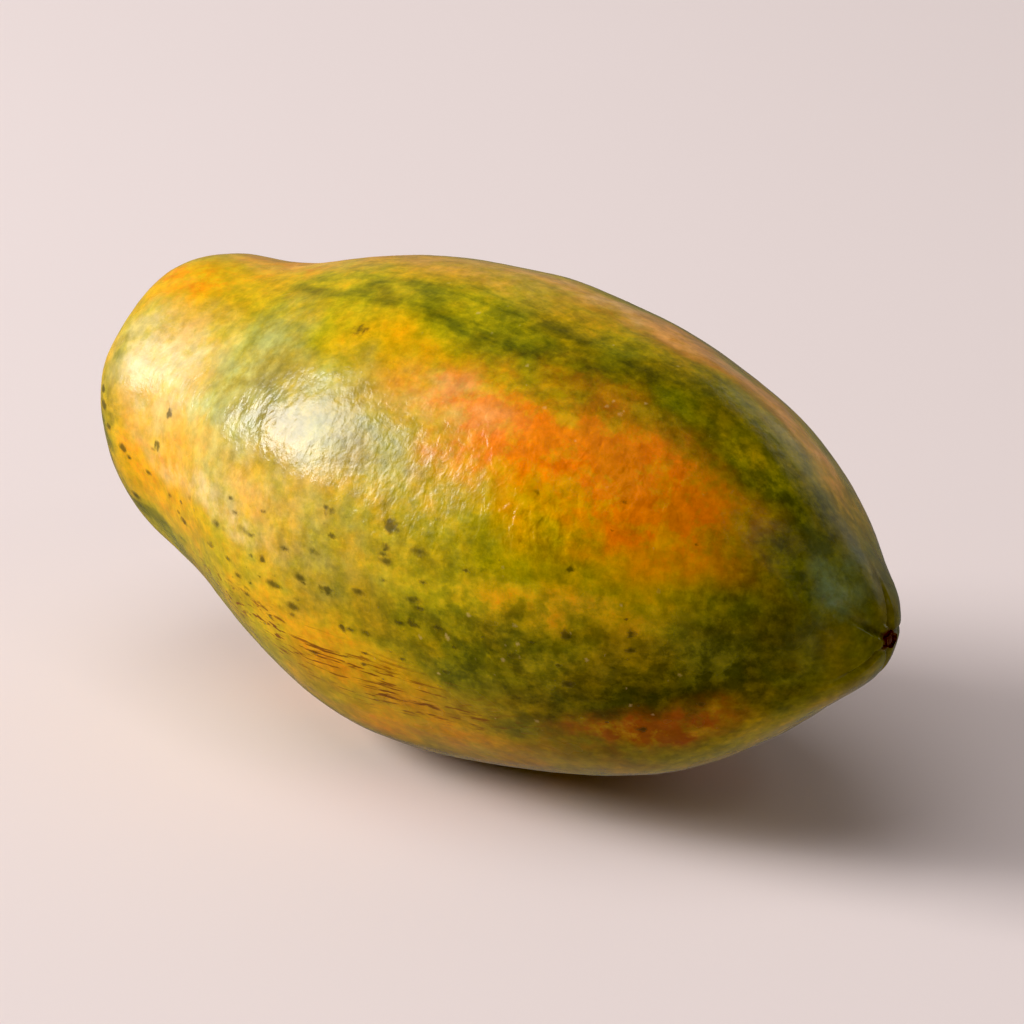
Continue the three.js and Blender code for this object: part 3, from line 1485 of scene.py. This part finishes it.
@dataclass(frozen=True)
class Lamp:
    """A soft light that faces the object.

    Attributes:
        name: its name.
        azimuth: where it hangs, in degrees from -Y towards +X.
        elevation: how high, in degrees.
        distance: how far off, in metres.
        size: its width and height, in metres.
        power: in watts.
        mirrored: whether it shows in reflections.
    """

    name: str
    azimuth: float
    elevation: float
    distance: float
    size: tuple[float, float]
    power: float
    mirrored: bool = True

    def hang(self, target: Vector) -> None:
        """Hangs the light.

        Args:
            target: what it faces.
        """
        data = bpy.data.lights.new(self.name, "AREA")
        data.shape = "RECTANGLE"
        data.size, data.size_y = self.size
        data.energy = self.power
        lamp = bpy.data.objects.new(self.name, data)
        lamp.visible_glossy = self.mirrored
        bpy.context.scene.collection.objects.link(lamp)
        aim(lamp, target, direction(self.azimuth, self.elevation), self.distance)


def direction(azimuth: float, elevation: float) -> Vector:
    """Gives the direction from the object to a place round it.

    Args:
        azimuth: in degrees from -Y towards +X.
        elevation: in degrees.

    Returns:
        The direction, of length 1.
    """
    turn, rise = math.radians(azimuth), math.radians(elevation)
    return Vector((math.sin(turn) * math.cos(rise), -math.cos(turn) * math.cos(rise), math.sin(rise)))


def aim(item: bpy.types.Object, target: Vector, back: Vector, distance: float) -> None:
    """Places a light or a camera so that it faces a target.

    Args:
        item: the light or the camera.
        target: what it faces.
        back: the direction from the target to it.
        distance: how far off, in metres.
    """
    item.location = target + back * distance
    item.rotation_euler = (-back).to_track_quat("-Z", "Y").to_euler()


@dataclass
class Studio:
    """The floor, the lights and the camera.

    Attributes:
        view_azimuth: where the camera stands, in degrees from -Y towards +X.
        view_elevation: how high it stands, in degrees.
        view_distance: how far it stands, in metres.
        share_of_frame: the share of the picture's width that the fruit takes.
        seen_width: how wide the fruit looks from there, in metres.
        floor_size: how wide the floor is, in metres.
        room: the light of the room all round.
        room_strength: how strong that is.
        lamps: the lights.
        black: the red, green and blue light that count as black.
    """

    view_azimuth: float = 41.7
    view_elevation: float = 21.5
    view_distance: float = 1.40
    share_of_frame: float = 0.78
    seen_width: float = 0.161
    floor_size: float = 12.0
    room: Colour = (0.86, 0.82, 0.82)
    room_strength: float = 0.20
    lamps: tuple[Lamp, ...] = (
        Lamp("window", -58.0, 24.0, 2.5, (1.0, 1.2), 76.0),
        Lamp("window_glow", -58.0, 24.0, 2.5, (1.5, 1.1), 12.0, mirrored=False),
        Lamp("overhead", -20.0, 78.0, 2.2, (1.8, 1.8), 18.0, mirrored=False),
        Lamp("wall", 172.0, 20.0, 2.6, (2.2, 1.2), 4.5),
        Lamp("side_card", 84.0, 46.0, 2.0, (0.30, 0.26), 0.8),
    )
    black: Colour = (0.007, 0.008, 0.008)

    def build(self) -> None:
        """Builds the studio round the object."""
        low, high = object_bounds()
        middle = (low + high) / 2
        self.lay_floor()
        self.set_world()
        for lamp in self.lamps:
            lamp.hang(middle)
        self.place_camera(middle)
        self.develop()
        log.info("studio: floor, world, lights and camera")

    def develop(self) -> None:
        """Keeps the colours as they are, with full blacks."""
        settings = bpy.context.scene.view_settings
        settings.view_transform = "Standard"
        settings.use_curve_mapping = True
        settings.curve_mapping.black_level = self.black
        settings.curve_mapping.update()

    def lay_floor(self) -> None:
        """Lays a wide floor under the object."""
        deselect_all()
        bpy.ops.mesh.primitive_plane_add(size=self.floor_size)
        floor = settle(bpy.context.object, "floor")
        floor.data.materials.append(FloorFinish().make())
        floor.visible_glossy = False
        floor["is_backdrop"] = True

    def set_world(self) -> None:
        """Surrounds the object with a pale room."""
        world = bpy.data.worlds.new("pale_room")
        bpy.context.scene.world = world
        world.use_nodes = True
        background = world.node_tree.nodes["Background"]
        background.inputs["Color"].default_value = (*self.room, 1.0)
        background.inputs["Strength"].default_value = self.room_strength

    def place_camera(self, target: Vector) -> None:
        """Places the camera with a long lens.

        Args:
            target: what it looks at.
        """
        data = bpy.data.cameras.new("camera")
        camera = bpy.data.objects.new("camera", data)
        bpy.context.scene.collection.objects.link(camera)
        aim(camera, target, direction(self.view_azimuth, self.view_elevation), self.view_distance)
        data.lens = data.sensor_width * self.view_distance * self.share_of_frame / self.seen_width
        data.clip_start = 0.01
        bpy.context.scene.camera = camera


# ------------------------------------------------------------------------------------------------------
# This papaya
# ------------------------------------------------------------------------------------------------------


# Two kinds of small patch: a dark mark with a soft edge, and a little hollow on the rim of the stem pit.
mark = partial(Patch, edge=1.0, depth=3.0)
dimple = partial(Patch, edge=0.9, depth=9.0)

# Each patch has its name, how far along and how far around the fruit its middle is, its length and width, and
# what it adds at its middle. The shine is the place on the belly that faces the window.

RIPENING = (
    # the neck
    Patch("gold of the neck", 32, 30, 76, 76, 0.11),
    Patch("blush on the shoulder", 15, 18, 24, 11, 0.20),
    Patch("gold below the shoulder", 32, 80, 66, 26, 0.15),
    Patch("gold low under the neck", 46, 104, 64, 18, 0.16),
    Patch("green band round the neck", 50, 40, 15, 46, -0.14, turn=-8),
    Patch("green before the shine", 59, 58, 15, 34, -0.22, turn=-10),
    Patch("green edge below the shoulder", 9, 76, 12, 26, -0.22),
    Patch("green edge under the neck", 26, 118, 26, 8, -0.20),
    # the near side of the belly
    Patch("green under the shine", 78, 60, 42, 20, -0.11),
    Patch("gold beside the shine", 102, 70, 34, 22, 0.06),
    Patch("gold low on the belly", 95, 112, 50, 14, 0.26, turn=-8),
    Patch("gold under the belly", 106, 130, 42, 14, 0.24),
    Patch("gold high on the belly", 88, 30, 28, 9, 0.10),
    Patch("gold between the shine and the green", 70, 74, 50, 18, 0.06),
    Patch("start of the orange", 109, 39, 32, 18, 0.14, edge=0.8),
    Patch("orange", 137, 42, 50, 24, 0.22, edge=0.8),
    Patch("end of the orange", 157, 51, 20, 18, 0.10, edge=0.8),
    Patch("olive above the orange", 148, 25, 44, 8, -0.10),
    Patch("ochre behind the orange", 162, 64, 14, 14, 0.08, edge=0.9),
    Patch("yellow streak", 138, 81, 54, 6, 0.24, turn=5, edge=0.8),
    Patch("start of the green ridge", 80, 14, 62, 14, 0.08),
    Patch("middle of the green ridge", 118, 15, 40, 19, -0.13),
    Patch("end of the green ridge", 152, 12, 56, 20, -0.18),
    Patch("dark streak behind the neck", 61, 18, 34, 2.8, -0.26, edge=0.9, depth=6.0),
    Patch("dark streak before the ridge", 90, 18, 34, 3.2, -0.28, edge=0.9, depth=6.0),
    Patch("ochre in the ridge", 164, 8, 14, 6, 0.20, edge=0.9, depth=8.0),
    Patch("green across the belly", 121, 90, 17, 36, -0.06),
    # Partly painted shade: these greener patches low on the belly also darken the skin where shade falls
    # under the fruit.
    Patch("green and painted shade low on the belly", 142, 107, 62, 28, -0.17),
    Patch("green and painted shade beside the amber", 160, 110, 26, 11, -0.20),
    Patch("green and painted shade under the belly", 150, 128, 44, 22, -0.20),
    Patch("amber near the floor", 158, 126, 28, 9, 0.42),
    # the tip
    # Partly painted shade: the tip is made greener and darker where shade falls on it.
    Patch("green and painted shade behind the tip", 176, 90, 24, 46, -0.17, depth=12.0),
    Patch("green tip", 187, 72, 28, 50, -0.24, depth=11.0),
    Patch("green top of the tip", 182, 0, 32, 26, -0.13, depth=10.0),
    Patch("green tip, far side", 186, -120, 36, 44, -0.26, depth=10.0),
    # the top
    Patch("gold of the top", 66, -8, 120, 26, 0.12),
    Patch("gold beside the ridge", 134, -21, 76, 13, 0.26, turn=6),
    # the far side
    Patch("green on the far shoulder", 56, -52, 70, 30, -0.16),
    Patch("orange on the far side", 106, -78, 70, 28, 0.22, turn=8),
    Patch("green beside the far orange", 150, -94, 56, 24, -0.20),
    Patch("gold of the far neck", 34, -112, 60, 44, 0.14),
    Patch("green low on the far side", 88, -132, 84, 24, -0.20),
    Patch("amber underneath", 118, -166, 60, 26, 0.24),
    Patch("gold underneath", 60, 168, 60, 30, 0.14),
)

MOTTLED = (
    Patch("along the ridge", 134, 12, 104, 32, 0.8),
    Patch("over the orange", 132, 27, 60, 12, 0.5),
    Patch("low on the belly", 144, 102, 64, 40, 1.0),
    Patch("middle of the belly", 104, 84, 56, 36, 0.4),
    Patch("under the neck", 34, 100, 50, 18, 0.3),
    Patch("near the tip", 178, 60, 34, 70, 0.8),
    Patch("far shoulder", 60, -52, 90, 40, 0.8),
    Patch("far side, low", 100, -134, 100, 40, 0.8),
    Patch("beside the far orange", 150, -94, 70, 40, 0.9),
)

STREAKED = (
    Patch("top, near the neck", 72, 12, 70, 18, 0.6),
    Patch("top of the belly", 112, 6, 80, 26, 0.7),
    Patch("below the shoulder", 10, 74, 14, 28, 1.0),
    Patch("green edge under the neck", 30, 112, 40, 10, 0.7),
    Patch("near the floor", 150, 112, 60, 30, 0.6),
    Patch("far side", 80, -100, 120, 50, 0.6),
)

TINTED = {
    Tint.ORANGE: (
        Patch("start of the orange", 112, 38, 34, 16, 0.9, edge=0.9),
        Patch("middle of the orange", 138, 42, 50, 22, 1.6, edge=1.0),
        Patch("end of the orange", 157, 45, 20, 18, 0.9, edge=1.0),
        Patch("far side", 106, -78, 62, 22, 1.2, turn=8, edge=0.9),
    ),
    # Pale skin, with painted sheen of the window on the shoulder, under the shine and at the start of the
    # orange.
    Tint.PALE: (
        Patch("shoulder", 25, 52, 34, 24, 0.75),
        Patch("start of the orange", 106, 41, 26, 14, 0.28),
        Patch("strip under the neck", 50, 86, 44, 8, 0.65, turn=-8),
        Patch("under the neck", 56, 73, 44, 16, 0.26),
        Patch("under the shine", 76, 80, 46, 24, 0.28, edge=0.9),
        Patch("far neck", 34, -112, 50, 40, 0.25),
    ),
    # Greener skin with painted sheen of the window's haze over it, between and round the shine.
    Tint.SAGE: (
        Patch("between the neck and the shine", 51, 52, 19, 30, 0.62, turn=-8, edge=0.8),
        Patch("under the shoulder", 40, 62, 16, 10, 0.45, edge=0.8),
        Patch("round the shine", 76, 44, 44, 10, 0.30),
        Patch("far neck", 50, -90, 22, 40, 0.30),
    ),
    # Tan skin along the top, with painted rim reflection on the rim and along the top, and the stripe made
    # lighter with painted light.
    Tint.TAN: (
        Patch("on the rim", 30, -2, 44, 12, 0.4),
        Patch("along the top", 76, -4, 60, 14, 0.4),
        Patch("first part of the stripe", 110, -17, 50, 9, 0.8, turn=4),
        Patch("second part of the stripe", 134, -21, 48, 9, 1.1, turn=8, edge=0.6),
        Patch("third part of the stripe", 156, -28, 34, 9, 1.0, turn=14, edge=0.6),
    ),
    Tint.OCHRE: (
        Patch("end of the orange", 163, 56, 16, 24, 0.25, edge=0.9),
        Patch("above the orange", 138, 28, 62, 9, 0.30, edge=0.9),
        Patch("low on the belly", 100, 116, 60, 14, 0.30),
        Patch("round the far orange", 106, -78, 80, 40, 0.30, turn=8),
    ),
    # Rust-brown skin; near the floor and under the belly it is also painted shade.
    Tint.RUST_AND_SHADE: (
        Patch("near the floor", 158, 126, 34, 12, 1.5),
        Patch("beside the scratches", 96, 116, 44, 8, 0.30),
        Patch("under the belly", 120, 138, 70, 18, 0.40),
        Patch("edge of the stripe", 140, -14, 60, 4, 0.35, turn=8),
    ),
    # Waxy bloom with a painted reflection of the room on it, on the tip.
    Tint.BLOOM: (
        Patch("on the tip", 186, 47, 9, 13, 0.95, edge=1.0, depth=8.0),
        Patch("on top of the tip", 183, -4, 18, 12, 0.35, edge=1.0, depth=8.0),
        Patch("on the tip, far side", 184, -120, 20, 26, 0.35, edge=1.0, depth=9.0),
    ),
}

SCRATCHED = (
    Patch("under the neck", 64, 110, 50, 8, 0.8),
    Patch("low on the belly", 90, 116, 64, 12, 1.0),
    Patch("lower on the belly", 112, 124, 50, 7, 0.8),
    Patch("far side", 80, -100, 90, 14, 0.6),
)

FRECKLED = (
    Patch("under the neck", 46, 97, 70, 18, 0.95),
    Patch("low belly", 86, 102, 70, 36, 1.0),
    Patch("middle of the belly", 112, 84, 60, 26, 0.40),
    Patch("near the tip", 146, 90, 60, 50, 0.35),
    Patch("far shoulder", 60, -60, 110, 80, 0.25),
    Patch("far side", 120, -110, 110, 90, 0.40),
)

MARKED = (
    mark("below the shoulder, upper", 7, 66, 2.6, 2.0),
    mark("below the shoulder, middle", 8, 72, 4.0, 2.0),
    mark("below the shoulder, lower", 11, 80, 2.4, 1.8),
    mark("at the shoulder's foot", 17, 85, 2.8, 1.8),
    mark("between the gold and the pale", 33, 66, 1.8, 2.6),
    mark("in the gold of the neck", 30, 78, 2.2, 2.2),
    mark("under the neck", 40, 99, 3.6, 1.6),
    mark("under the neck, farther", 53, 98, 3.2, 1.4),
    mark("above the strip", 60, 83, 2.6, 1.0, 0.8),
    mark("at the strip's end", 68, 88, 2.0, 1.6),
    mark("beyond the strip's end", 72, 93, 2.4, 1.6),
    mark("under the shine", 90, 75, 2.4, 2.0),
    mark("blotch on the belly", 106, 74, 4.6, 3.0, 0.9),
    mark("under the blotch", 106, 79, 2.2, 1.8),
    mark("low blotch", 91, 94, 4.4, 2.0),
    mark("lower dot", 94, 103, 2.2, 1.8),
    mark("dot in the green", 113, 96, 3.4, 1.8),
    mark("above the shine", 77, 30, 4.4, 3.0, 0.8),
    mark("below the orange", 146, 72, 2.0, 1.6),
    mark("in the dark mottles", 146, 91, 3.0, 2.6),
    mark("in the yellow streak", 158, 88, 2.2, 2.0),
    mark("in the amber", 156, 126, 2.4, 1.8),
    mark("on the far shoulder", 40, -70, 3.2, 2.4),
    mark("on the far side", 96, -112, 4.4, 3.0),
)

# Where pale dots of painted glint lie: they stand for glints of light on little bumps of the skin.
GLINT_SPECKLED = (
    Patch("low on the belly", 142, 104, 66, 40, 0.55),
    Patch("on the orange", 136, 38, 66, 30, 0.35),
    Patch("ridge", 120, 14, 90, 24, 0.30),
    Patch("far side", 110, -100, 120, 90, 0.40),
)

WRINKLED = (
    Patch("right of the shine", 106, 69, 28, 20, 0.62, edge=0.5),
    Patch("below the orange", 134, 65, 22, 10, 1.0),
    Patch("over the shine", 84, 42, 36, 12, 0.45),
    Patch("on the shine", 84, 56, 30, 16, 0.12),
    Patch("on the orange", 132, 44, 60, 26, 0.75),
    Patch("left of the shine", 62, 62, 12, 16, 0.6),
    Patch("bruise", 80, 85, 12, 9, 0.9),
    Patch("on the neck", 36, 56, 26, 16, 0.25),
    Patch("on the tip", 183, 50, 18, 26, 0.7),
    Patch("far side", 80, -70, 60, 40, 0.6),
)

DULLED = (
    Patch("right of the shine", 110, 62, 30, 28, 0.60),
    Patch("neck", 26, 50, 40, 40, 0.5),
    Patch("far neck", 30, -90, 50, 60, 0.8),
    Patch("tip", 178, 20, 30, 50, 0.7),
)

DIMPLES = (
    dimple("top", 1.5, -2, 7, 9, 0.5),
    dimple("near side", 1.2, 44, 7, 10, 0.3),
    dimple("low near side", 1.5, 95, 7, 8, 0.5),
    dimple("far side", 1.2, -60, 8, 9, 0.8),
    dimple("low far side", 1.5, -118, 7, 10, 0.6),
    dimple("underneath", 1.5, 150, 7, 9, 0.7),
    Patch("bruise on the belly", 83, 87, 8, 7, 0.7, edge=0.9, depth=5.0),
)


def main() -> None:
    """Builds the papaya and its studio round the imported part."""
    logging.basicConfig(level=logging.INFO, format="%(name)s: %(message)s")
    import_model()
    form = FruitForm("fruit", "stem_stub")
    finish = SkinFinish(
        ripeness=0.50,
        ripening=RIPENING,
        mottled=MOTTLED,
        streaked=STREAKED,
        tinted=TINTED,
        scratched=SCRATCHED,
        freckled=FRECKLED,
        marked=MARKED,
        glint_speckled=GLINT_SPECKLED,
        wrinkled=WRINKLED,
        dulled=DULLED,
    )
    Fruit(form, finish, dimples=DIMPLES).build()
    StemStub().build()
    BlossomScar(form).build()
    Studio().build()


if __name__ == "__main__":
    main()
